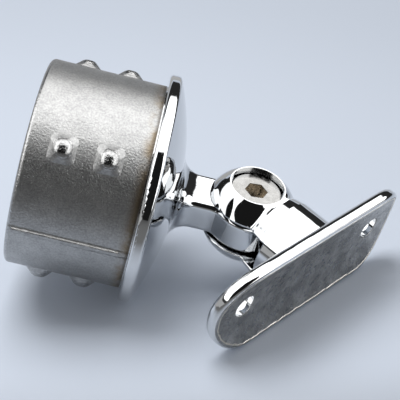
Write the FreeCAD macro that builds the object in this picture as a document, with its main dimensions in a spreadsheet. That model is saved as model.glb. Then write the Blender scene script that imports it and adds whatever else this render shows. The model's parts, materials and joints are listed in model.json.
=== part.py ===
import FreeCAD, Part
import math
import os
import Sketcher

# Handrail bracket: a cast plug that drives into the top of a round post, and a cast saddle that
# carries a round rail. The saddle's fork turns on the plug's tongue, about one recessed screw.
# Frame: +Z is up the post's axis, the origin lies on that axis where the flange seats on the tube,
# and +Y runs along the pivot towards the screw's head.

doc = FreeCAD.newDocument("handrail_bracket")
V = FreeCAD.Vector

# Driving dimensions, in millimetres and degrees
SIZES = [
    # post plug and its flange
    ("flange_diameter", 50.8),
    ("rim_thickness", 2.5),
    ("rim_edge_radius", 0.8),
    ("dome_rise", 5.5),
    ("seat_width", 2.75),
    ("plug_length", 25.6),
    ("plug_wall", 3.0),
    ("plug_edge_radius", 1.0),
    ("cavity_above_seat", 1.0),
    # grip bumps on the plug, mirrored across the mould's parting plane
    ("bump_base", 6.8),
    ("bump_tip", 2.4),
    ("bump_height", 1.7),
    ("bump_root", 0.6),
    ("bump_edge_radius", 2.0),
    ("front_bump_angle", 131.0),
    ("side_bump_angle", 47.0),
    ("upper_row_depth", 8.3),
    ("lower_row_depth", 17.8),
    # raised line left where the two halves of the mould met
    ("flash_width", 1.3),
    ("flash_height", 0.42),
    ("flash_edge_radius", 0.4),
    ("flash_top_gap", 2.2),
    ("flash_bottom_gap", 1.2),
    # neck and knuckle
    ("neck_width", 10.8),
    ("neck_edge_radius", 1.5),
    ("neck_fillet", 4.6),
    ("hinge_height", 24.0),
    ("ball_diameter", 21.2),
    ("ball_flat_height", 8.05),
    ("ball_flat_diameter", 14.8),
    ("ball_fillet", 1.5),
    ("fork_gap_front", 3.6),
    ("fork_gap_rear", 4.6),
    ("fork_gap_depth", 10.6),
    ("fork_edge_radius", 0.3),
    ("front_lap_clearance", 0.06),
    ("rear_lap_clearance", 0.26),
    ("tongue_inset", 1.3),
    ("tongue_fillet", 3.0),
    # pivot screw
    ("shank_diameter", 8.0),
    ("pivot_clearance", 0.06),
    ("thread_clearance", 0.02),
    ("head_diameter", 11.4),
    ("head_height", 1.9),
    ("head_recess", 1.5),
    ("head_seat_gap", 0.02),
    ("head_chamfer", 0.25),
    ("counterbore_diameter", 12.0),
    ("socket_flats", 4.5),
    ("socket_depth", 3.2),
    ("screw_tip_gap", 0.6),
    ("tip_chamfer", 0.6),
    ("thread_end", 8.8),
    ("socket_turn", 22.8),
    # saddle, with its middle a little behind the post's axis
    ("saddle_offset", 0.5),
    ("rail_diameter", 50.8),
    ("saddle_reach", 18.6),
    ("plate_thickness", 3.0),
    ("plate_length", 60.8),
    ("plate_width", 23.2),
    ("plate_back_radius", 1.5),
    ("plate_face_radius", 1.0),
    ("hole_spacing", 43.0),
    ("hole_diameter", 5.5),
    ("stem_diameter", 19.2),
    ("stem_waist", 18.4),
    ("rest_tilt", 38.5),
]

sheet = doc.addObject("Spreadsheet::Sheet", "sizes")
for row, (name, value) in enumerate(SIZES, start=1):
    sheet.set("A%d" % row, name)
    sheet.set("B%d" % row, str(value))
    sheet.setAlias("B%d" % row, name)
doc.recompute()


def size(name):
    """A driving dimension's value."""
    return float(getattr(sheet, name))


def origin_plane(body, role):
    """One of a body's own origin planes, such as XY_Plane."""
    return next(plane for plane in body.Origin.OriginFeatures if plane.Role == role)


def new_body(label):
    body = doc.addObject("PartDesign::Body", label)
    body.Label = label
    return body


def new_sketch(body, name, role, offsets=None, turn=None):
    """A sketch on an origin plane, moved by expressions in the plane's own directions."""
    sketch = body.newObject("Sketcher::SketchObject", name)
    sketch.AttachmentSupport = [(origin_plane(body, role), "")]
    sketch.MapMode = "FlatFace"
    if turn is not None:
        sketch.AttachmentOffset = FreeCAD.Placement(V(), turn)
    for direction, formula in (offsets or {}).items():
        sketch.setExpression("AttachmentOffset.Base." + direction, formula)
    return sketch


def drive(sketch, constraint, formula):
    """Adds a dimension to a sketch and binds it to the driving dimensions."""
    index = sketch.addConstraint(constraint)
    sketch.setExpression("Constraints[%d]" % index, formula)


def closed_profile(sketch, points):
    """A closed outline of straight runs. Each point is (x, y, x formula, y formula)."""
    count = len(points)
    first = len(sketch.Geometry)
    corners = [V(x, y, 0) for x, y, _, _ in points]
    for i in range(count):
        sketch.addGeometry(Part.LineSegment(corners[i], corners[(i + 1) % count]), False)
    for i in range(count):
        sketch.addConstraint(Sketcher.Constraint("Coincident", first + i, 2, first + (i + 1) % count, 1))
    for i, (x, y, x_formula, y_formula) in enumerate(points):
        drive(sketch, Sketcher.Constraint("DistanceX", -1, 1, first + i, 1, x), x_formula)
        drive(sketch, Sketcher.Constraint("DistanceY", -1, 1, first + i, 1, y), y_formula)


def formula_points(pairs):
    """Points given as two formulas each, with the values that the formulas have now."""
    return [(value_of(fx), value_of(fy), fx, fy) for fx, fy in pairs]


def value_of(formula):
    """The present value of a formula of the driving dimensions."""
    return float(sheet.evalExpression(formula))


def revolve(body, kind, name, sketch, axis):
    feature = body.newObject(kind, name)
    feature.Profile = sketch
    feature.ReferenceAxis = (sketch, [axis])
    feature.Angle = 360.0
    doc.recompute()


def edge_names(shape, wanted):
    """Names of the edges of a shape that a test accepts."""
    return ["Edge%d" % (i + 1) for i, edge in enumerate(shape.Edges) if wanted(edge)]


def round_edges(body, name, wanted, radius_formula):
    base = body.Tip
    names = edge_names(base.Shape, wanted)
    fillet = body.newObject("PartDesign::Fillet", name)
    fillet.Base = (base, names)
    fillet.setExpression("Radius", radius_formula)
    doc.recompute()


def near(a, b, within=0.02):
    return abs(a - b) < within


def is_ring(edge, radius, height, within=0.02):
    """True for a circle about the Z axis with this radius and height."""
    box = edge.BoundBox
    level = near(box.ZMin, height, within) and near(box.ZMax, height, within)
    return level and near(box.XMax, radius, within) and near(box.XMin, -radius, within)


def half_disc(sketch, radius_formula):
    """Half a disc above the sketch's X axis, for turning a ball."""
    radius = value_of(radius_formula)
    sketch.addGeometry(Part.ArcOfCircle(Part.Circle(V(), V(0, 0, 1), radius), 0, math.pi), False)
    sketch.addGeometry(Part.LineSegment(V(-radius, 0, 0), V(radius, 0, 0)), False)
    sketch.addConstraint(Sketcher.Constraint("Coincident", 0, 2, 1, 1))
    sketch.addConstraint(Sketcher.Constraint("Coincident", 1, 2, 0, 1))
    sketch.addConstraint(Sketcher.Constraint("Coincident", 0, 3, -1, 1))
    sketch.addConstraint(Sketcher.Constraint("PointOnObject", 1, 1, -1))
    drive(sketch, Sketcher.Constraint("Radius", 0, radius), radius_formula)


def circle_at(sketch, x_formula, y_formula, radius_formula):
    """A circle in a sketch, with its place and radius bound to formulas."""
    x, y, radius = value_of(x_formula), value_of(y_formula), value_of(radius_formula)
    index = sketch.addGeometry(Part.Circle(V(x, y, 0), V(0, 0, 1), radius), False)
    drive(sketch, Sketcher.Constraint("DistanceX", -1, 1, index, 3, x), x_formula)
    drive(sketch, Sketcher.Constraint("DistanceY", -1, 1, index, 3, y), y_formula)
    drive(sketch, Sketcher.Constraint("Radius", index, radius), radius_formula)


def pad(body, name, sketch, length_formula, reverse=False, middle=False):
    feature = body.newObject("PartDesign::Pad", name)
    feature.Profile = sketch
    feature.Reversed = reverse
    if middle:
        feature.SideType = "Symmetric"
    feature.setExpression("Length", length_formula)
    doc.recompute()


def cut_through(body, name, sketch):
    """A pocket both ways through everything. The volume shows that it cut."""
    before = body.Tip.Shape.Volume
    feature = body.newObject("PartDesign::Pocket", name)
    feature.Profile = sketch
    feature.SideType = "Symmetric"
    feature.Type = "ThroughAll"
    doc.recompute()
    assert body.Tip.Shape.Volume < before - 1, name


def turn_away(body, name, sketch):
    """A cut turned about the sketch's X axis. The volume shows that it cut."""
    before = body.Tip.Shape.Volume
    revolve(body, "PartDesign::Groove", name, sketch, "H_Axis")
    assert body.Tip.Shape.Volume < before - 1, name


# Post insert: plug, flange, dome, neck and tongue in one casting
def make_post_insert():
    body = new_body("post_insert")
    plug_radius = "sizes.flange_diameter / 2 - sizes.seat_width"
    bore_radius = plug_radius + " - sizes.plug_wall"
    rim_radius = "sizes.flange_diameter / 2"
    apex_formula = "sizes.rim_thickness + sizes.dome_rise"

    # turned plug with its blind cavity, and the flange's rim
    section = new_sketch(body, "insert_section", "XZ_Plane")
    closed_profile(section, formula_points([
        ("0", "sizes.cavity_above_seat"),
        (bore_radius, "sizes.cavity_above_seat"),
        (bore_radius, "-sizes.plug_length"),
        (plug_radius, "-sizes.plug_length"),
        (plug_radius, "0"),
        (rim_radius, "0"),
        (rim_radius, "sizes.rim_thickness"),
        ("0", "sizes.rim_thickness"),
    ]))
    revolve(body, "PartDesign::Revolution", "insert_turned", section, "V_Axis")

    # domed cap: the part of a large ball above the rim
    cap = new_sketch(body, "dome_section", "XZ_Plane")
    apex = value_of(apex_formula)
    rim = V(value_of(rim_radius), size("rim_thickness"), 0)
    radius = (rim.x ** 2 + size("dome_rise") ** 2) / (2 * size("dome_rise"))
    circle = Part.Circle(V(0, apex - radius, 0), V(0, 0, 1), radius)
    cap.addGeometry(Part.ArcOfCircle(circle, math.acos(rim.x / radius), math.pi / 2), False)
    cap.addGeometry(Part.LineSegment(V(0, apex, 0), V(0, rim.y, 0)), False)
    cap.addGeometry(Part.LineSegment(V(0, rim.y, 0), rim), False)
    for first, second in ((0, 1), (1, 2), (2, 0)):
        cap.addConstraint(Sketcher.Constraint("Coincident", first, 2, second, 1))
    cap.addConstraint(Sketcher.Constraint("PointOnObject", 0, 3, -2))
    cap.addConstraint(Sketcher.Constraint("PointOnObject", 1, 1, -2))
    cap.addConstraint(Sketcher.Constraint("PointOnObject", 1, 2, -2))
    cap.addConstraint(Sketcher.Constraint("Horizontal", 2))
    drive(cap, Sketcher.Constraint("DistanceX", -1, 1, 2, 2, rim.x), rim_radius)
    drive(cap, Sketcher.Constraint("DistanceY", -1, 1, 2, 2, rim.y), "sizes.rim_thickness")
    drive(cap, Sketcher.Constraint("DistanceY", -1, 1, 1, 1, apex), apex_formula)
    revolve(body, "PartDesign::Revolution", "dome", cap, "V_Axis")

    # tongue: a flat disc round the hinge, as thick as the fork's gap less its clearances
    front_face = "sizes.fork_gap_front - sizes.front_lap_clearance"
    rear_face = "sizes.fork_gap_rear - sizes.rear_lap_clearance"
    thickness = "%s + %s" % (front_face, rear_face)
    tongue_radius = "sizes.ball_diameter / 2 - sizes.tongue_inset"
    disc = new_sketch(body, "tongue_section", "XZ_Plane", {"z": "-(%s)" % front_face})
    circle_at(disc, "0", "sizes.hinge_height", tongue_radius)
    half_neck = "sizes.neck_width / 2"
    bar = new_sketch(body, "neck_section", "XZ_Plane", {"z": "-(%s)" % front_face})
    closed_profile(bar, formula_points([
        ("-" + half_neck, "sizes.rim_thickness"),
        (half_neck, "sizes.rim_thickness"),
        (half_neck, "sizes.hinge_height"),
        ("-" + half_neck, "sizes.hinge_height"),
    ]))

    # neck: a flat bar of that thickness from inside the cap to the tongue, with all its edges rounded
    pad(body, "neck", bar, thickness)
    pad(body, "tongue", disc, thickness)
    side = value_of(half_neck)
    throat = size("hinge_height") - math.sqrt(value_of(tongue_radius) ** 2 - side ** 2)
    round_edges(body, "tongue_sweep", lambda e: is_throat_corner(e, side, throat), "sizes.tongue_fillet")
    faces = (value_of(front_face), -value_of(rear_face))
    dome_centre = V(0, 0, apex - radius)
    round_edges(body, "neck_edges", lambda e: lies_in(e, faces) and not on_ball(e, dome_centre, radius),
                "sizes.neck_edge_radius")
    foot_reach = math.hypot(side, max(abs(face) for face in faces))
    round_edges(body, "neck_sweep", lambda e: on_ball(e, dome_centre, radius) and off_axis(e) < foot_reach,
                "sizes.neck_fillet")

    # pivot hole through the tongue, along the hinge's axis
    pivot = new_sketch(body, "pivot_hole_section", "XZ_Plane")
    circle_at(pivot, "0", "sizes.hinge_height", "sizes.shank_diameter / 2 + sizes.pivot_clearance")
    cut_through(body, "pivot_hole", pivot)

    # grip bumps: blunt pyramids in two rows, each with its twin on the far side of the plug
    for angle in ("front_bump_angle", "side_bump_angle"):
        for row in ("upper_row", "lower_row"):
            add_bump_pair(body, section, plug_radius, angle, row)
    bump_level = value_of(plug_radius) + size("bump_height") / 4
    round_edges(body, "bump_edges", lambda e: is_below_seat(e) and off_axis(e) > bump_level,
                "sizes.bump_edge_radius")

    # raised lines where the mould's two halves met
    flash = new_sketch(body, "flash_section", "XY_Plane", {"z": "-sizes.flash_top_gap"})
    flash_rim = plug_radius + " + sizes.flash_height"
    half_flash = "sizes.flash_width / 2"
    for side in ("", "-"):
        inner = side + "(%s - sizes.plug_wall / 2)" % plug_radius
        outer = side + "(%s)" % flash_rim
        closed_profile(flash, formula_points([
            (inner, "-" + half_flash), (outer, "-" + half_flash), (outer, half_flash), (inner, half_flash)]))
    flash_length = "sizes.plug_length - sizes.flash_top_gap - sizes.flash_bottom_gap"
    pad(body, "flash_lines", flash, flash_length, reverse=True)
    crest = value_of(flash_rim) - size("flash_height") / 2
    round_edges(body, "flash_edges", lambda e: is_flash_edge(e, crest), "sizes.flash_edge_radius")

    # rounded edges: the plug's open end and the flange's rim
    flange = value_of(rim_radius)
    plug = value_of(plug_radius)
    round_edges(body, "plug_end", lambda e: is_ring(e, plug, -size("plug_length")), "sizes.plug_edge_radius")
    round_edges(body, "rim_edges", lambda e: is_ring(e, flange, 0) or is_ring(e, flange, rim.y),
                "sizes.rim_edge_radius")
    return body


def add_bump_pair(body, turned, plug_radius, angle, row):
    """One grip bump and its twin half a turn on. The base is sunk in the plug's wall."""
    turn = FreeCAD.Rotation(V(0, 1, 0), size(angle))
    sections = []
    for end, side, reach in (
        ("base", "sizes.bump_base", plug_radius + " - sizes.bump_root"),
        ("tip", "sizes.bump_tip", plug_radius + " + sizes.bump_height"),
    ):
        place = {
            "x": "(%s) * sin(sizes.%s * 1 deg)" % (reach, angle),
            "y": "-sizes.%s_depth" % row,
            "z": "(%s) * cos(sizes.%s * 1 deg)" % (reach, angle),
        }
        square = new_sketch(body, "%s_%s_%s" % (angle, row, end), "YZ_Plane", place, turn)
        half = side + " / 2"
        closed_profile(square, formula_points([
            ("-" + half, "-" + half), (half, "-" + half), (half, half), ("-" + half, half)]))
        sections.append(square)
    bump = body.newObject("PartDesign::AdditiveLoft", "%s_%s_bump" % (angle, row))
    bump.Profile = sections[0]
    bump.Sections = [sections[1]]
    bump.Ruled = True
    doc.recompute()
    pair = body.newObject("PartDesign::PolarPattern", "%s_%s_pair" % (angle, row))
    pair.Originals = [bump]
    pair.Axis = (turned, ["V_Axis"])
    pair.Angle = 360.0
    pair.Occurrences = 2
    body.Tip = pair
    doc.recompute()


def is_below_seat(edge):
    return edge.BoundBox.ZMax < 0


def is_flash_edge(edge, crest):
    """True for the long outer edges of the mould's raised lines."""
    box = edge.BoundBox
    upright = near(box.XMin, box.XMax) and near(box.YMin, box.YMax)
    on_line = near(abs(box.YMin), size("flash_width") / 2) and abs(box.XMin) > crest
    return is_below_seat(edge) and upright and on_line


def off_axis(edge):
    """How far an edge's middle lies from the post's axis."""
    middle = edge_points(edge)[1]
    return math.hypot(middle.x, middle.y)


def lies_in(edge, faces):
    """True for an edge that lies flat in one of these planes across the hinge's axis."""
    return any(all(near(point.y, face) for point in edge_points(edge)) for face in faces)


def on_ball(edge, centre, radius):
    """True for an edge that lies on a ball."""
    return all(near(point.distanceToPoint(centre), radius) for point in edge_points(edge))


def is_throat_corner(edge, side, height):
    """True for the straight edges where the neck's flanks meet the tongue."""
    box = edge.BoundBox
    flank = near(abs(box.XMin), side) and near(box.XMin, box.XMax)
    return flank and near(box.ZMin, height) and near(box.ZMax, height)


# Saddle: fork, stem and rail plate in one casting, modelled level about the hinge
def make_saddle():
    body = new_body("saddle")
    ball_radius = "sizes.ball_diameter / 2"
    rail_radius = "sizes.rail_diameter / 2"
    back_radius = "sizes.rail_diameter / 2 + sizes.plate_thickness"
    axis_height = "sizes.saddle_reach + sizes.rail_diameter / 2"

    # knuckle: a ball on the hinge's axis
    rearwards = "-sizes.saddle_offset"
    knuckle = new_sketch(body, "knuckle_section", "YZ_Plane", {"x": rearwards})
    half_disc(knuckle, ball_radius)
    revolve(body, "PartDesign::Revolution", "knuckle", knuckle, "H_Axis")

    # stem: a round bar in line with the ball, waisted where it leaves it, that ends inside the plate
    stem = new_sketch(body, "stem_section", "XZ_Plane", {"z": "sizes.saddle_offset"})
    stem_top = "sizes.saddle_reach - sizes.plate_thickness * 0.2"
    inside, waist, full = [ball_radius + " * %g" % part for part in (0.3, 0.68, 0.9)]
    closed_profile(stem, formula_points([
        ("0", inside),
        ("sizes.stem_waist / 2 * 0.8", inside),
        ("sizes.stem_waist / 2", waist),
        ("sizes.stem_diameter / 2", full),
        ("sizes.stem_diameter / 2", stem_top),
        ("0", stem_top),
    ]))
    revolve(body, "PartDesign::Revolution", "stem", stem, "V_Axis")
    ball, waist_height = value_of(ball_radius), value_of(waist)
    round_edges(body, "stem_sweep", lambda e: is_throat(e, ball, waist_height), "sizes.ball_fillet")

    # rail plate: a strip of tube wall, curved to the rail
    strip = new_sketch(body, "plate_section", "YZ_Plane", {"x": rearwards})
    height = value_of(axis_height)
    inner = value_of(rail_radius)
    outer = value_of(back_radius)
    half = size("plate_width") / 2
    inner_rise = height - math.sqrt(inner ** 2 - half ** 2)
    outer_rise = height - math.sqrt(outer ** 2 - half ** 2)
    centre = V(0, height, 0)
    lean_inner = math.asin(half / inner)
    lean_outer = math.asin(half / outer)
    down = 1.5 * math.pi
    inner_circle = Part.Circle(centre, V(0, 0, 1), inner)
    outer_circle = Part.Circle(centre, V(0, 0, 1), outer)
    strip.addGeometry(Part.ArcOfCircle(outer_circle, down - lean_outer, down + lean_outer), False)
    strip.addGeometry(Part.LineSegment(V(half, outer_rise, 0), V(half, inner_rise, 0)), False)
    strip.addGeometry(Part.ArcOfCircle(inner_circle, down - lean_inner, down + lean_inner), False)
    strip.addGeometry(Part.LineSegment(V(-half, inner_rise, 0), V(-half, outer_rise, 0)), False)
    strip.addConstraint(Sketcher.Constraint("Coincident", 0, 2, 1, 1))
    strip.addConstraint(Sketcher.Constraint("Coincident", 1, 2, 2, 2))
    strip.addConstraint(Sketcher.Constraint("Coincident", 2, 1, 3, 1))
    strip.addConstraint(Sketcher.Constraint("Coincident", 3, 2, 0, 1))
    strip.addConstraint(Sketcher.Constraint("Coincident", 0, 3, 2, 3))
    strip.addConstraint(Sketcher.Constraint("PointOnObject", 0, 3, -2))
    strip.addConstraint(Sketcher.Constraint("Vertical", 1))
    strip.addConstraint(Sketcher.Constraint("Vertical", 3))
    drive(strip, Sketcher.Constraint("DistanceY", -1, 1, 0, 3, height), axis_height)
    drive(strip, Sketcher.Constraint("Radius", 2, inner), rail_radius)
    drive(strip, Sketcher.Constraint("Radius", 0, outer), back_radius)
    drive(strip, Sketcher.Constraint("DistanceX", -1, 1, 1, 1, half), "sizes.plate_width / 2")
    drive(strip, Sketcher.Constraint("DistanceX", 3, 1, -1, 1, half), "sizes.plate_width / 2")
    pad(body, "plate", strip, "sizes.plate_length", middle=True)

    # round ends of the plate: the corners outside a half circle are cut away
    corners = new_sketch(body, "plate_corners", "XY_Plane", {"y": rearwards})
    reach = size("plate_length") / 2
    for side in (1, -1):
        for hand in (1, -1):
            end_corner(corners, side, hand, reach, half)
    cut_through(body, "plate_ends", corners)

    # gap of the fork, for the tongue
    gap = new_sketch(body, "fork_gap_section", "YZ_Plane")
    below = "-(%s) - 1" % ball_radius
    closed_profile(gap, formula_points([
        ("-sizes.fork_gap_rear", below),
        ("sizes.fork_gap_front", below),
        ("sizes.fork_gap_front", "sizes.fork_gap_depth"),
        ("-sizes.fork_gap_rear", "sizes.fork_gap_depth"),
    ]))
    cut_through(body, "fork_gap", gap)

    # stepped hole for the pivot screw: spot face, head recess, clear hole, then the blind thread
    bore = new_sketch(body, "screw_hole_section", "YZ_Plane")
    seat = "sizes.ball_flat_height - sizes.head_recess - sizes.head_height"
    clear = "sizes.shank_diameter / 2 + sizes.pivot_clearance"
    thread = "sizes.shank_diameter / 2 + sizes.thread_clearance"
    outside = ball_radius + " + 1"
    closed_profile(bore, formula_points([
        (outside, "0"),
        (outside, "sizes.ball_flat_diameter / 2"),
        ("sizes.ball_flat_height", "sizes.ball_flat_diameter / 2"),
        ("sizes.ball_flat_height", "sizes.counterbore_diameter / 2"),
        (seat, "sizes.counterbore_diameter / 2"),
        (seat, clear),
        ("-sizes.fork_gap_rear", clear),
        ("-sizes.fork_gap_rear", thread),
        ("-sizes.thread_end", thread),
        ("-sizes.thread_end - 0.5", "0"),
    ]))
    turn_away(body, "screw_hole", bore)

    # rail screw holes
    holes = new_sketch(body, "rail_hole_section", "XY_Plane", {"y": rearwards})
    circle_at(holes, "sizes.hole_spacing / 2", "0", "sizes.hole_diameter / 2")
    circle_at(holes, "-sizes.hole_spacing / 2", "0", "sizes.hole_diameter / 2")
    cut_through(body, "rail_holes", holes)

    # rounded edges: round the fork's gap and along the plate's outline
    round_edges(body, "fork_edges", is_fork_edge, "sizes.fork_edge_radius")
    round_edges(body, "plate_face_edge", lambda e: is_outline(e, height, inner), "sizes.plate_face_radius")
    round_edges(body, "plate_back_edge", lambda e: is_outline(e, height, outer), "sizes.plate_back_radius")
    return body


def edge_points(edge):
    """Three points along an edge, clear of its ends."""
    first, last = edge.FirstParameter, edge.LastParameter
    return [edge.valueAt(first + part * (last - first)) for part in (0.1, 0.5, 0.9)]


def is_fork_edge(edge):
    """True for an outer edge of the fork's gap: not at the screw's hole, nor in the gap's corners."""
    points = edge_points(edge)
    faces = (size("fork_gap_front"), -size("fork_gap_rear"))
    outside = all(math.hypot(p.x, p.z) > size("counterbore_diameter") / 2 for p in points)
    on_wall = any(all(near(p.y, face) for p in points) for face in faces)
    on_floor = all(near(p.z, size("fork_gap_depth")) for p in points)
    return outside and on_wall != on_floor


def is_throat(edge, ball, top):
    """True for the circle where the stem leaves the ball."""
    box = edge.BoundBox
    level = near(box.ZMin, box.ZMax) and 0 < box.ZMin < top
    return level and near(math.hypot(box.XMax, box.ZMax), ball, 0.05)


def is_outline(edge, axis_height, radius):
    """True for an edge of the plate's outline that lies on a cylinder round the rail's axis."""
    stem_edge = size("stem_diameter") / 2 + 0.5
    hole_edge = size("hole_diameter") / 2 + 0.5
    hole_place = size("hole_spacing") / 2
    for point in edge_points(edge):
        across = point.y + size("saddle_offset")
        if not near(math.hypot(across, point.z - axis_height), radius, 0.05):
            return False
        if math.hypot(point.x, across) < stem_edge:
            return False
        if math.hypot(abs(point.x) - hole_place, across) < hole_edge:
            return False
    return True


def end_corner(sketch, side, hand, reach, half):
    """The corner between a half-round plate end and the square end it is cut from."""
    over = 1.0
    middle = side * (reach - half)
    circle = Part.Circle(V(middle, 0, 0), V(0, 0, 1), half)
    quarter = {(1, 1): 0.0, (-1, 1): 0.5, (-1, -1): 1.0, (1, -1): 1.5}[(side, hand)] * math.pi
    first = len(sketch.Geometry)
    sketch.addGeometry(Part.ArcOfCircle(circle, quarter, quarter + math.pi / 2), False)
    tip = V(side * reach, 0, 0)
    flank = V(middle, hand * half, 0)
    path = [tip, tip + V(side * over, 0, 0), V(side * (reach + over), hand * (half + over), 0),
            flank + V(0, hand * over, 0), flank]
    for start, end in zip(path, path[1:]):
        sketch.addGeometry(Part.LineSegment(start, end), False)
    tip_end, flank_end = (1, 2) if side * hand > 0 else (2, 1)
    sketch.addConstraint(Sketcher.Constraint("Coincident", first, tip_end, first + 1, 1))
    for i in range(1, 4):
        sketch.addConstraint(Sketcher.Constraint("Coincident", first + i, 2, first + i + 1, 1))
    sketch.addConstraint(Sketcher.Constraint("Coincident", first + 4, 2, first, flank_end))
    sketch.addConstraint(Sketcher.Constraint("Horizontal", first + 1))
    sketch.addConstraint(Sketcher.Constraint("Vertical", first + 2))
    sketch.addConstraint(Sketcher.Constraint("Horizontal", first + 3))
    sketch.addConstraint(Sketcher.Constraint("Vertical", first + 4))
    sketch.addConstraint(Sketcher.Constraint("PointOnObject", first, 3, -1))
    sketch.addConstraint(Sketcher.Constraint("PointOnObject", first, tip_end, -1))
    sketch.addConstraint(Sketcher.Constraint("Vertical", first, 3, first, flank_end))
    drive(sketch, Sketcher.Constraint("Radius", first, half), "sizes.plate_width / 2")
    far = (-1, 1, first, tip_end) if side > 0 else (first, tip_end, -1, 1)
    drive(sketch, Sketcher.Constraint("DistanceX", *far, reach), "sizes.plate_length / 2")
    drive(sketch, Sketcher.Constraint("Distance", first + 1, over), "%g" % over)
    drive(sketch, Sketcher.Constraint("Distance", first + 4, over), "%g" % over)


# Pivot screw: thin flat head with a hexagon socket, and a plain shank
def make_pivot_screw():
    body = new_body("pivot_screw")
    top = "sizes.ball_flat_height - sizes.head_recess"
    under = top + " - sizes.head_height + sizes.head_seat_gap"
    tip = "-sizes.thread_end + sizes.screw_tip_gap"
    head = "sizes.head_diameter / 2"
    shank = "sizes.shank_diameter / 2"
    section = new_sketch(body, "screw_section", "YZ_Plane")
    closed_profile(section, formula_points([
        (top, "0"),
        (top, head + " - sizes.head_chamfer"),
        (top + " - sizes.head_chamfer", head),
        (under, head),
        (under, shank),
        (tip + " + sizes.tip_chamfer", shank),
        (tip, shank + " - sizes.tip_chamfer"),
        (tip, "0"),
    ]))
    revolve(body, "PartDesign::Revolution", "screw_turned", section, "H_Axis")

    # hexagon socket
    socket = new_sketch(body, "socket_section", "XZ_Plane", {"z": "-(%s)" % top})
    corner = size("socket_flats") / math.sqrt(3)
    points = [V(corner * math.cos(math.radians(60 * k)), corner * math.sin(math.radians(60 * k)), 0)
              for k in range(6)]
    for k in range(6):
        socket.addGeometry(Part.LineSegment(points[k], points[(k + 1) % 6]), False)
    ring = socket.addGeometry(Part.Circle(V(), V(0, 0, 1), corner), True)
    for k in range(6):
        socket.addConstraint(Sketcher.Constraint("Coincident", k, 2, (k + 1) % 6, 1))
        socket.addConstraint(Sketcher.Constraint("PointOnObject", k, 1, ring))
    for k in range(1, 6):
        socket.addConstraint(Sketcher.Constraint("Equal", 0, k))
    socket.addConstraint(Sketcher.Constraint("Coincident", ring, 3, -1, 1))
    socket.addConstraint(Sketcher.Constraint("PointOnObject", 0, 1, -1))
    drive(socket, Sketcher.Constraint("Radius", ring, corner), "sizes.socket_flats / sqrt(3)")
    before = body.Tip.Shape.Volume
    pocket = body.newObject("PartDesign::Pocket", "socket")
    pocket.Profile = socket
    pocket.setExpression("Length", "sizes.socket_depth")
    doc.recompute()
    if body.Tip.Shape.Volume > before - 1:
        pocket.Reversed = True
        doc.recompute()
    assert body.Tip.Shape.Volume < before - 1
    return body


def at_hinge(turn):
    """Where a piece that was modelled about the hinge goes, turned about the hinge's axis."""
    return FreeCAD.Placement(V(0, 0, size("hinge_height")), FreeCAD.Rotation(V(0, 1, 0), turn))


post_insert = make_post_insert()
saddle = make_saddle()
pivot_screw = make_pivot_screw()
saddle.Placement = at_hinge(-size("rest_tilt"))
pivot_screw.Placement = at_hinge(-size("socket_turn"))
doc.recompute()

# Every piece is sound before it is written
for item in doc.Objects:
    assert "Invalid" not in item.State and "Error" not in item.State, item.Name
os.makedirs("parts", exist_ok=True)
for piece in (post_insert, saddle, pivot_screw):
    shape = piece.Shape
    assert not shape.isNull() and shape.isValid() and len(shape.Solids) == 1, piece.Label
    shape.exportStep("parts/%s.step" % piece.Label)
    print(piece.Label, round(shape.Volume, 1), "mm3", shape.BoundBox)
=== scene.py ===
import json
import math

import bpy
from mathutils import Matrix, Vector

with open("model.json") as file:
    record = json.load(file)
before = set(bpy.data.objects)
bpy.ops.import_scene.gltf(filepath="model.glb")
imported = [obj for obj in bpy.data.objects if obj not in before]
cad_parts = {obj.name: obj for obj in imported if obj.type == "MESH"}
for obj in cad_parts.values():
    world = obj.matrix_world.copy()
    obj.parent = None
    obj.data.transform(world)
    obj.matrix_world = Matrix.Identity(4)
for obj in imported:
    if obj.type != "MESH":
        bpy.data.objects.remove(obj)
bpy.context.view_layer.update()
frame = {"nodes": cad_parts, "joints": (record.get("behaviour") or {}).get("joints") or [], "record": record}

# Places on the object, in metres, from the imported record
JOINT = frame["joints"][0]
HINGE = Vector(JOINT["pos_m"])
MOUNTS = {mount["name"]: mount for mount in frame["record"]["mounts"]}
PLATE_OUT = Vector(MOUNTS["rail_saddle"]["axis"]).normalized()
PLATE_SEAT = Vector(MOUNTS["rail_saddle"]["pos_m"])
PLATE_LONG = Vector((0.0, 1.0, 0.0)).cross(PLATE_OUT)

# Sizes of the part, in metres
PLATE_HALF_LENGTH = 0.0304
PLATE_HALF_WIDTH = 0.0116
RAIL_RADIUS = 0.0254
PLUG_RADIUS = 0.02265
PLUG_LENGTH = 0.0256
CAVITY_RADIUS = 0.01965
CAVITY_TOP = 0.001
SCREW_TOP = 0.00655

# The photograph's camera: where it stands, which way it faces, its lens and how near and far it sees
CAMERA_PLACE = Vector((-0.18862, 0.15766, -0.00525))
CAMERA_RIGHT = Vector((0.0956, 0.2257, 0.9695))
CAMERA_UP = Vector((0.6362, 0.7352, -0.2339))
CAMERA_BACK = Vector((-0.7656, 0.6391, -0.0733))
FOCAL_PIXELS = 1117.0
PHOTO_PIXELS = 400.0
SENSOR_MM = 36.0
NEAREST = 0.01
FARTHEST = 20.0

# The bench in the photograph, on which the bracket lies on its flange and on its plate's rear edge
BENCH_UP = Vector((0.216, 0.938, -0.2715)).normalized()
BENCH_FRONT = (CAMERA_BACK - CAMERA_BACK.dot(BENCH_UP) * BENCH_UP).normalized()
BENCH_SIDE = BENCH_UP.cross(BENCH_FRONT)
BENCH_LEVEL = min(vertex.co.dot(BENCH_UP) for node in frame["nodes"].values()
                  for vertex in node.data.vertices)
BACKDROP = (0.66, 0.72, 0.82, 1.0)

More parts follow.
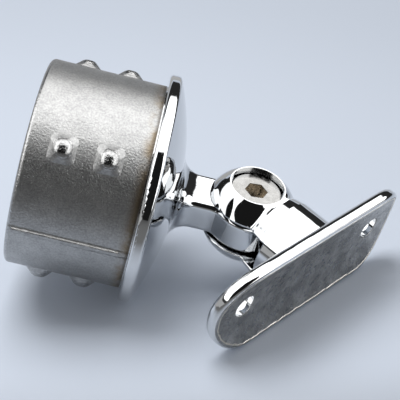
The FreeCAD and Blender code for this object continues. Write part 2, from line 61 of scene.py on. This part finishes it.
# The light tent leans: which way its roof lies, and its front
ROOF = Vector((0.0, 0.993, 0.12)).normalized()
ROOF_FRONT = (CAMERA_BACK - CAMERA_BACK.dot(ROOF) * ROOF).normalized()


class Nodes:
    """A short way to write a node tree, from values that are plain or come out of other nodes."""

    def __init__(self, tree):
        self.tree = tree
        tree.nodes.clear()

    def add(self, kind, inputs=None, **settings):
        node = self.tree.nodes.new(kind)
        for name, value in settings.items():
            setattr(node, name, value)
        for key, value in (inputs or {}).items():
            self.put(node.inputs[key], value)
        return node

    def put(self, socket, value):
        if isinstance(value, bpy.types.NodeSocket):
            self.tree.links.new(value, socket)
        else:
            socket.default_value = value

    def math(self, operation, first, second=0.0):
        return self.add("ShaderNodeMath", {0: first, 1: second}, operation=operation).outputs[0]

    def total(self, first, *others):
        for other in others:
            first = self.math("ADD", first, other)
        return first

    def product(self, first, *others):
        for other in others:
            first = self.math("MULTIPLY", first, other)
        return first

    def dot(self, vector, direction):
        node = self.add("ShaderNodeVectorMath", {0: vector, 1: tuple(direction)}, operation="DOT_PRODUCT")
        return node.outputs["Value"]

    def ramp(self, value, low, high, start=0.0, end=1.0):
        """Goes smoothly from start to end as a value goes from low to high."""
        node = self.add(
            "ShaderNodeMapRange",
            {"Value": value, "From Min": low, "From Max": high, "To Min": start, "To Max": end},
            interpolation_type="SMOOTHSTEP",
        )
        return node.outputs["Result"]

    def fall(self, value, low, high):
        """Goes smoothly from 1 to 0 as a value goes from low to high."""
        return self.ramp(value, low, high, 1.0, 0.0)

    def mix(self, factor, first, second, kind="RGBA"):
        """From the first colour to the second as the factor goes from 0 to 1."""
        node = self.add("ShaderNodeMix", data_type=kind)
        self.put(node.inputs["Factor"], factor)
        self.put(node.inputs["A"], first)
        self.put(node.inputs["B"], second)
        return node.outputs["Result"]

    def blend(self, factor, first, second):
        """From the first number to the second as the factor goes from 0 to 1."""
        return self.mix(factor, first, second, kind="FLOAT")

    def noise(self, vector, scale, detail=3.0, roughness=0.5):
        node = self.add("ShaderNodeTexNoise", {"Vector": vector, "Scale": scale, "Detail": detail,
                                               "Roughness": roughness})
        return node.outputs["Fac"]


def grey(level):
    return (level, level, level, 1.0)


def new_material(name):
    material = bpy.data.materials.new(name)
    material.use_nodes = True
    return material, Nodes(material.node_tree)


def object_point(nodes):
    return nodes.add("ShaderNodeTexCoord").outputs["Object"]


def measured_from(nodes, point, place):
    node = nodes.add("ShaderNodeVectorMath", {0: point, 1: tuple(place)}, operation="SUBTRACT")
    return node.outputs["Vector"]


def off_axis(nodes, point, across):
    """How far a point lies from an axis through the origin. across is 1 across the axis, 0 along it."""
    flat = nodes.add("ShaderNodeVectorMath", {0: point, 1: across}, operation="MULTIPLY")
    length = nodes.add("ShaderNodeVectorMath", {0: flat.outputs["Vector"]}, operation="LENGTH")
    return length.outputs["Value"]


# Colours of the steel
POLISHED = (0.66, 0.67, 0.68, 1.0)
PLUG_DARK = grey(0.33)
PLUG_PALE = (0.48, 0.48, 0.475, 1.0)
# partly a real brown staining, partly painted shade under the flange
STAIN_AND_SHADE = (0.22, 0.155, 0.075, 1.0)
# painted shadow: a dark line along the corner under the flange
CORNER_SHADE = (0.09, 0.08, 0.07, 1.0)
TROUGH_DARK = (0.29, 0.29, 0.287, 1.0)
TROUGH_PALE = (0.50, 0.497, 0.49, 1.0)
# partly skin rubbed bare, partly a painted highlight: paler than the polished steel
WEAR_AND_HIGHLIGHT = (0.82, 0.77, 0.68, 1.0)
SCREW_HEAD = (0.38, 0.376, 0.366, 1.0)
SCREW_SOCKET = (0.5, 0.46, 0.4, 1.0)

# Heights of relief, in metres
POLISH_WAVE = 0.00013
PLUG_GRAIN = 0.00009
PLUG_WAVE = 0.00004
MOULD_LINE_RAGS = 0.00035
TROUGH_GRAIN = 0.00012
TROUGH_PITS = 0.00030
TROUGH_RIDGE = 0.00016

# How rough each finish is, at its smoothest and at its roughest
POLISH_ROUGH = (0.025, 0.06)
PLUG_ROUGH = (0.33, 0.47)
BUMP_ROUGH = 0.17
TROUGH_ROUGH = (0.22, 0.42)
SCREW_ROUGH = (0.2, 0.32)

# Where a finish or a mark begins and ends on the post insert, in metres
SKIN_TOP = (-0.0003, 0.0)
CAVITY_ROOF = (CAVITY_TOP + 0.0002, CAVITY_TOP + 0.0003)
CAVITY_WALL = (CAVITY_RADIUS + 0.0002, CAVITY_RADIUS + 0.0003)
PLUG_OUTSIDE = (CAVITY_RADIUS + 0.0005, CAVITY_RADIUS + 0.001)
BUMP_TOP = (PLUG_RADIUS + 0.0004, PLUG_RADIUS + 0.0011)
PLUG_END = (-PLUG_LENGTH + 0.0005, -PLUG_LENGTH + 0.0009)
# the band under the flange where the brown staining and its painted shade lie
STAIN_AND_SHADE_BAND = (-0.0032, -0.0002)
# where the painted shadow line in the corner under the flange lies
CORNER_SHADE_BAND = (-0.0011, -0.0003)
MOULD_LINE_SIDE = (0.0004, 0.0012)

# The same on the saddle and the screw, and how far the worn line with its painted highlight wanders
TROUGH_FACE = (RAIL_RADIUS + 0.00014, RAIL_RADIUS + 0.0002)
WEAR_AND_HIGHLIGHT_OUTER = (0.0006, 0.0008)
WEAR_AND_HIGHLIGHT_INNER = (0.0010, 0.0012)
WEAR_AND_HIGHLIGHT_WANDER = 0.0007
SOCKET_LIP = (SCREW_TOP - 0.0004, SCREW_TOP - 0.00028)
SOCKET_SIDE = (0.0029, 0.0031)

# How strongly the brown staining with its painted shade and the painted corner shadow cover the plug's skin,
# and how much of its mottling is fine speckle
STAIN_AND_SHADE_COVER = 0.85
CORNER_SHADE_COVER = 0.7
SPECKLE_SHARE = 0.7


# Two finishes of cast stainless steel on one piece: mirror polish, and the mould's own skin
def steel(name, as_cast, skin_colour, skin_rough, skin_relief):
    """as_cast gives 1 where the mould's skin is left and 0 where it is polished away.

    The three other arguments give the skin's colour, its roughness and the height of its relief."""
    material, nodes = new_material(name)
    point = object_point(nodes)
    raw = as_cast(nodes, point)
    colour = nodes.mix(raw, POLISHED, skin_colour(nodes, point))

    # polished metal keeps faint wheel marks and a slight waviness
    smears = nodes.noise(point, scale=180.0, detail=2.0)
    polish_rough = nodes.ramp(smears, 0.3, 0.75, *POLISH_ROUGH)
    rough = nodes.blend(raw, polish_rough, skin_rough(nodes, point))
    waviness = nodes.product(nodes.noise(point, scale=140.0, detail=2.0, roughness=0.4), POLISH_WAVE)
    height = nodes.blend(raw, waviness, skin_relief(nodes, point))
    bump = nodes.add("ShaderNodeBump", {"Strength": 1.0, "Height": height, "Distance": 1.0})
    shader = nodes.add("ShaderNodeBsdfPrincipled", {
        "Base Color": colour, "Metallic": 1.0, "Roughness": rough, "Normal": bump.outputs["Normal"]})
    nodes.add("ShaderNodeOutputMaterial", {"Surface": shader.outputs["BSDF"]})
    return material


def from_axis(nodes, point):
    """How far a point lies from the post's axis."""
    return off_axis(nodes, point, (1, 1, 0))


def along_post(nodes, point):
    """How far up the post's axis a point lies."""
    return nodes.dot(point, (0, 0, 1))


# Post insert: cast skin on the plug and in its cavity, polish from the flange's seat upwards
def plug_skin(nodes, point):
    height = along_post(nodes, point)
    on_plug = nodes.fall(height, *SKIN_TOP)
    below_roof = nodes.fall(height, *CAVITY_ROOF)
    within = nodes.fall(from_axis(nodes, point), *CAVITY_WALL)
    return nodes.math("MAXIMUM", on_plug, nodes.product(below_roof, within))


def plug_colour(nodes, point):
    """Mottled grey, with brown staining under the flange that also stands as painted shade there, and a
    painted shadow line in the corner.
    """
    mottle = nodes.ramp(nodes.noise(point, scale=320.0), 0.35, 0.7)
    speckle = nodes.ramp(nodes.noise(point, scale=2400.0, detail=2.0), 0.3, 0.7)
    skin = nodes.mix(nodes.blend(SPECKLE_SHARE, mottle, speckle), PLUG_DARK, PLUG_PALE)
    outside = nodes.ramp(from_axis(nodes, point), *PLUG_OUTSIDE)
    # brown staining that is also painted shade, strongest at the flange's seat
    near_seat = nodes.ramp(along_post(nodes, point), *STAIN_AND_SHADE_BAND)
    patches = nodes.ramp(nodes.noise(point, scale=140.0, detail=4.0, roughness=0.6), 0.36, 0.56)
    stain_and_shade = nodes.product(near_seat, outside, patches, STAIN_AND_SHADE_COVER)
    stained_and_shaded = nodes.mix(stain_and_shade, skin, STAIN_AND_SHADE)
    # painted shadow: a dark line along the corner under the flange
    corner = nodes.ramp(along_post(nodes, point), *CORNER_SHADE_BAND)
    return nodes.mix(nodes.product(corner, outside, CORNER_SHADE_COVER), stained_and_shaded, CORNER_SHADE)


def plug_rough(nodes, point):
    """Grainy, smoother on the rubbed tops of the bumps and on the plug's open end."""
    grain = nodes.noise(point, scale=3000.0, detail=4.0, roughness=0.6)
    grainy = nodes.ramp(grain, 0.3, 0.7, *PLUG_ROUGH)
    on_bump = nodes.ramp(from_axis(nodes, point), *BUMP_TOP)
    on_end = nodes.fall(along_post(nodes, point), *PLUG_END)
    return nodes.blend(nodes.math("MAXIMUM", on_bump, on_end), grainy, BUMP_ROUGH)


def beside_mould_line(nodes, point):
    """1 along the two lines where the mould's halves met, and 0 well away from them."""
    off_line = nodes.math("ABSOLUTE", nodes.dot(point, (0, 1, 0)))
    return nodes.fall(off_line, *MOULD_LINE_SIDE)


def plug_relief(nodes, point):
    """Fine grain on slight waves, ragged beside the mould lines."""
    grain = nodes.product(nodes.noise(point, scale=2600.0, detail=2.0, roughness=0.6), PLUG_GRAIN)
    waves = nodes.product(nodes.noise(point, scale=420.0), PLUG_WAVE)
    rags = nodes.product(nodes.noise(point, scale=800.0, roughness=0.6), MOULD_LINE_RAGS)
    return nodes.total(grain, waves, nodes.product(beside_mould_line(nodes, point), rags))


# Saddle: cast skin on the plate's rail side, polish elsewhere
def hypotenuse(nodes, first, second):
    squares = nodes.total(nodes.product(first, first), nodes.product(second, second))
    return nodes.math("SQRT", squares)


def from_seat(nodes, point, direction):
    """How far a point lies from the middle of the plate's trough, in one direction."""
    return nodes.dot(measured_from(nodes, point, PLATE_SEAT), direction)


def from_rail(nodes, point):
    """How far a point lies from the rail's axis."""
    out = nodes.math("SUBTRACT", from_seat(nodes, point, PLATE_OUT), RAIL_RADIUS)
    return hypotenuse(nodes, from_seat(nodes, point, (0, 1, 0)), out)


def inside_outline(nodes, point):
    """How far a point lies inside the plate's long round outline."""
    straight = PLATE_HALF_LENGTH - PLATE_HALF_WIDTH
    along = nodes.math("ABSOLUTE", from_seat(nodes, point, PLATE_LONG))
    past = nodes.math("MAXIMUM", nodes.math("SUBTRACT", along, straight), 0.0)
    from_middle = hypotenuse(nodes, past, from_seat(nodes, point, (0, 1, 0)))
    return nodes.math("SUBTRACT", PLATE_HALF_WIDTH, from_middle)


def trough_skin(nodes, point):
    return nodes.fall(from_rail(nodes, point), *TROUGH_FACE)


def wear_and_highlight_line(nodes, point):
    """1 along a thin, wandering line just inside the plate's outline, where the skin is rubbed bare and a
    highlight is painted.
    """
    wander = nodes.product(nodes.noise(point, scale=500.0), WEAR_AND_HIGHLIGHT_WANDER)
    inside = nodes.math("SUBTRACT", inside_outline(nodes, point), wander)
    past_outer = nodes.ramp(inside, *WEAR_AND_HIGHLIGHT_OUTER)
    before_inner = nodes.fall(inside, *WEAR_AND_HIGHLIGHT_INNER)
    return nodes.product(past_outer, before_inner)


def trough_colour(nodes, point):
    blotch = nodes.ramp(nodes.noise(point, scale=260.0, detail=5.0, roughness=0.65), 0.35, 0.68)
    skin = nodes.mix(blotch, TROUGH_DARK, TROUGH_PALE)
    # the worn line is painted pale as a highlight
    return nodes.mix(wear_and_highlight_line(nodes, point), skin, WEAR_AND_HIGHLIGHT)


def trough_rough(nodes, point):
    grain = nodes.noise(point, scale=700.0, detail=4.0, roughness=0.6)
    return nodes.ramp(grain, 0.3, 0.7, *TROUGH_ROUGH)


def trough_relief(nodes, point):
    grain = nodes.product(nodes.noise(point, scale=2400.0, detail=4.0, roughness=0.6), TROUGH_GRAIN)
    pits = nodes.product(nodes.noise(point, scale=520.0, detail=4.0, roughness=0.6), TROUGH_PITS)
    ridge = nodes.product(wear_and_highlight_line(nodes, point), TROUGH_RIDGE)
    return nodes.total(grain, pits, ridge)


insert_steel = steel("insert steel", plug_skin, plug_colour, plug_rough, plug_relief)
saddle_steel = steel("saddle steel", trough_skin, trough_colour, trough_rough, trough_relief)


def satin_screw():
    """A turned, satin head with a paler, browner socket."""
    material, nodes = new_material("screw steel")
    point = object_point(nodes)
    from_hinge = measured_from(nodes, point, HINGE)
    below_lip = nodes.fall(nodes.dot(from_hinge, (0, 1, 0)), *SOCKET_LIP)
    within = nodes.fall(off_axis(nodes, from_hinge, (1, 0, 1)), *SOCKET_SIDE)
    colour = nodes.mix(nodes.product(below_lip, within), SCREW_HEAD, SCREW_SOCKET)
    rough = nodes.ramp(nodes.noise(point, scale=900.0), 0.3, 0.7, *SCREW_ROUGH)
    shader = nodes.add("ShaderNodeBsdfPrincipled", {
        "Base Color": colour, "Metallic": 1.0, "Roughness": rough})
    nodes.add("ShaderNodeOutputMaterial", {"Surface": shader.outputs["BSDF"]})
    return material


FINISHES = {"post_insert": insert_steel, "saddle": saddle_steel, "pivot_screw": satin_screw()}
for name, material in FINISHES.items():
    mesh = frame["nodes"][name].data
    mesh.materials.clear()
    mesh.materials.append(material)


# Studio: a white tent that the steel mirrors, with an opening where the camera looks in
TENT = grey(2.5)
BACK_BAND = grey(0.03)
FRONT_SHADE = grey(0.05)
UNDERNEATH = grey(0.5)
CAMERA_OPENING = grey(0.012)
FILL = grey(0.4)

# How high up each change in the tent begins and ends, as the upward share of a direction
FLOOR_LINE = (-0.03, -0.01)
SWEEP_TOP = (0.05, 0.09)
BACK_BAND_TOP = (0.54, 0.60)
FRONT_SHADE_TOP = (0.07, 0.10)

# Where the tent's back turns into its front, as the forward share of a level direction
BACK_TO_FRONT = (-0.5, -0.25)

# How far from its middle the camera's opening begins and is fully dark, in degrees
OPENING_EDGE = (38, 36)


def studio_world():
    """At the back a pale sweep, a dark band and the tent; in front shade, then the tent."""
    world = bpy.data.worlds.new("studio")
    bpy.context.scene.world = world
    world.use_nodes = True
    nodes = Nodes(world.node_tree)
    direction = nodes.add("ShaderNodeTexCoord").outputs["Generated"]
    height = nodes.dot(direction, ROOF)
    front = nodes.dot(direction, ROOF_FRONT)
    # a little more than 1, so that straight up is not a division by zero
    level = nodes.math("SQRT", nodes.math("SUBTRACT", 1.0001, nodes.product(height, height)))
    facing = nodes.math("DIVIDE", front, level)

    sweep = nodes.mix(nodes.ramp(height, *SWEEP_TOP), BACKDROP, BACK_BAND)
    back_wall = nodes.mix(nodes.ramp(height, *BACK_BAND_TOP), sweep, TENT)
    front_wall = nodes.mix(nodes.ramp(height, *FRONT_SHADE_TOP), FRONT_SHADE, TENT)
    upright = nodes.mix(nodes.ramp(facing, *BACK_TO_FRONT), back_wall, front_wall)
    walls = nodes.mix(nodes.ramp(height, *FLOOR_LINE), UNDERNEATH, upright)
    edge = [math.cos(math.radians(degrees)) for degrees in OPENING_EDGE]
    opening = nodes.ramp(nodes.dot(direction, CAMERA_BACK), *edge)
    room = nodes.mix(opening, walls, CAMERA_OPENING)

    paths = nodes.add("ShaderNodeLightPath")
    mirrored = nodes.add("ShaderNodeBackground", {"Color": room, "Strength": 1.0})
    diffuse = nodes.add("ShaderNodeBackground", {"Color": FILL, "Strength": 1.0})
    seen = nodes.add("ShaderNodeBackground", {"Color": BACKDROP, "Strength": 1.0})
    shed = nodes.add("ShaderNodeMixShader", {
        "Fac": paths.outputs["Is Glossy Ray"], 1: diffuse.outputs[0], 2: mirrored.outputs[0]})
    both = nodes.add("ShaderNodeMixShader", {
        "Fac": paths.outputs["Is Camera Ray"], 1: shed.outputs[0], 2: seen.outputs[0]})
    nodes.add("ShaderNodeOutputWorld", {"Surface": both.outputs[0]})


def over_bench(height, left=0.0, back=0.0):
    """A frame with Z away from the bench, over the bracket's neck or further left or back than that."""
    turn = Matrix((BENCH_FRONT, BENCH_SIDE, BENCH_UP)).transposed().to_4x4()
    middle = HINGE * 0.5 - left * BENCH_SIDE - back * BENCH_FRONT
    foot = middle + (BENCH_LEVEL + height - middle.dot(BENCH_UP)) * BENCH_UP
    return Matrix.Translation(foot) @ turn


# The bench, in metres from the bracket: its half width, where it fades out, and its front darkened with
# painted shade
FLOOR_HALF = 0.6
FADE = (0.16, 0.42)
PAINTED_SHADE_AHEAD = (0.03, 0.08)
PAINTED_FRONT_SHADE = grey(0.2)


def bench():
    """A pale floor with painted shade in front, that fades into the backdrop and can be looked through from
    below.
    """
    mesh = bpy.data.meshes.new("bench")
    half = FLOOR_HALF
    corners = [(-half, -half, 0), (half, -half, 0), (half, half, 0), (-half, half, 0)]
    mesh.from_pydata(corners, [], [(0, 1, 2, 3)])
    floor = bpy.data.objects.new("bench", mesh)
    floor.matrix_world = over_bench(0.0)
    bpy.context.scene.collection.objects.link(floor)
    material, nodes = new_material("bench")
    distance = nodes.add("ShaderNodeVectorMath", {0: object_point(nodes)}, operation="LENGTH")
    far = nodes.ramp(distance.outputs["Value"], *FADE)
    paths = nodes.add("ShaderNodeLightPath")
    under = nodes.add("ShaderNodeNewGeometry").outputs["Backfacing"]
    faded = nodes.product(far, paths.outputs["Is Camera Ray"])
    clear = nodes.math("MAXIMUM", under, faded)
    # painted shade on the floor ahead of the bracket, for the steel to mirror
    ahead = nodes.ramp(nodes.dot(object_point(nodes), (1, 0, 0)), *PAINTED_SHADE_AHEAD)
    paint = nodes.add("ShaderNodeBsdfDiffuse", {"Color": nodes.mix(ahead, BACKDROP, PAINTED_FRONT_SHADE)})
    gone = nodes.add("ShaderNodeBsdfTransparent")
    surface = nodes.add("ShaderNodeMixShader", {"Fac": clear, 1: paint.outputs[0], 2: gone.outputs[0]})
    nodes.add("ShaderNodeOutputMaterial", {"Surface": surface.outputs[0]})
    mesh.materials.append(material)


# The lamp, in metres and watts: its side, its power and its place over the bench
LAMP_SIDE = 0.32
LAMP_POWER = 1.4
LAMP_PLACE = {"height": 0.42, "left": 0.11, "back": 0.03}


def roof_light():
    """The lamp over the tent. The metal mirrors the tent itself, so the lamp leaves it alone."""
    data = bpy.data.lights.new("roof light", "AREA")
    data.shape = "SQUARE"
    data.size = LAMP_SIDE
    data.energy = LAMP_POWER
    lamp = bpy.data.objects.new("roof light", data)
    lamp.matrix_world = over_bench(**LAMP_PLACE)
    lamp.visible_glossy = False
    bpy.context.scene.collection.objects.link(lamp)


studio_world()
bench()
roof_light()


def place_camera():
    data = bpy.data.cameras.new("camera")
    data.sensor_width = SENSOR_MM
    data.lens = FOCAL_PIXELS / PHOTO_PIXELS * SENSOR_MM
    data.clip_start = NEAREST
    data.clip_end = FARTHEST
    camera = bpy.data.objects.new("camera", data)
    turn = Matrix((CAMERA_RIGHT, CAMERA_UP, CAMERA_BACK)).transposed().to_4x4()
    camera.matrix_world = Matrix.Translation(CAMERA_PLACE) @ turn
    bpy.context.scene.collection.objects.link(camera)
    bpy.context.scene.camera = camera


place_camera()
bpy.context.scene.view_settings.view_transform = "Standard"
